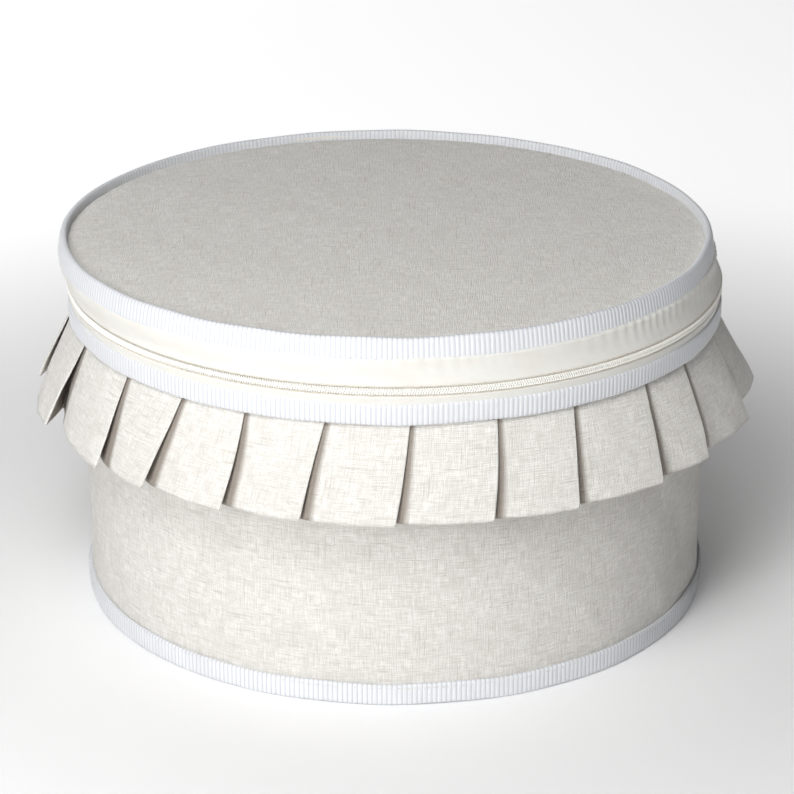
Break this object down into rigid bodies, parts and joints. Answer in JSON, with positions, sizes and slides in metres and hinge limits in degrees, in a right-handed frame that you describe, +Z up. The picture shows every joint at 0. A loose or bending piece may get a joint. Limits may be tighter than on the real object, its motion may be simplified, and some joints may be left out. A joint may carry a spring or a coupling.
{
  "type": "hat box",
  "caption": "Round zip-around hat box in linen over board, with ribbed ribbon bindings, a hinged lid and a knife-pleated skirt below the zip.",
  "frame": {"origin": "middle of the underside, on the surface it stands on", "axes": "+Z up, the front faces -Y, the cloth hinge is at the back towards +Y"},
  "size_m": [0.266, 0.266, 0.135],
  "materials": {
    "linen": "plain woven natural linen with slubs",
    "board": "pressed grey-brown stiffening board",
    "lining": "smooth cotton lining",
    "seam_tape": "flat cotton tape",
    "ribbon": "ribbed grosgrain ribbon",
    "piping": "twisted cotton cord",
    "zip_tape": "woven polyester zip tape",
    "zip_coil": "satin nylon coil",
    "metal": "bright nickel plate"
  },
  "bodies": {
    "base": {"bottom_panel": "linen", "bottom_board": "board", "bottom_lining": "lining", "bottom_seam_tape": "seam_tape", "bottom_binding": "ribbon", "wall_linen": "linen", "wall_board": "board", "wall_lining": "lining", "skirt": "linen", "rim_binding": "ribbon", "rim_piping": "piping", "rim_seam_tape": "seam_tape", "base_zip_tape": "zip_tape", "base_zip_coil": "zip_coil", "base_zip_stops": "metal", "zip_end_tabs": "linen", "hinge_panel": "linen"},
    "lid": {"lid_top_panel": "linen", "lid_board": "board", "lid_lining": "lining", "lid_seam_tape": "seam_tape", "lid_binding": "ribbon", "lid_piping": "piping", "lid_zip_tape": "zip_tape", "lid_zip_coil": "zip_coil", "lid_zip_stops": "metal"},
    "slider": {"slider_body": "metal", "slider_bail": "metal"},
    "pull": {"pull_tab": "metal"}
  },
  "joints": [
    {"name": "lid_hinge", "type": "hinge", "parent": "base", "child": "lid", "pos_m": [0, 0.1166, 0.1168], "axis": [-1, 0, 0], "range_deg": [0, 110], "deforming": ["hinge_panel"]},
    {"name": "zip_travel", "type": "hinge", "parent": "base", "child": "slider", "pos_m": [0, 0, 0.1168], "axis": [0, 0, 1], "range_deg": [-316, 0]},
    {"name": "pull_swing", "type": "hinge", "parent": "slider", "child": "pull", "pos_m": [0.04548, 0.11256, 0.1172], "axis": [0.9272, -0.3746, 0], "range_deg": [0, 160]}
  ]
}
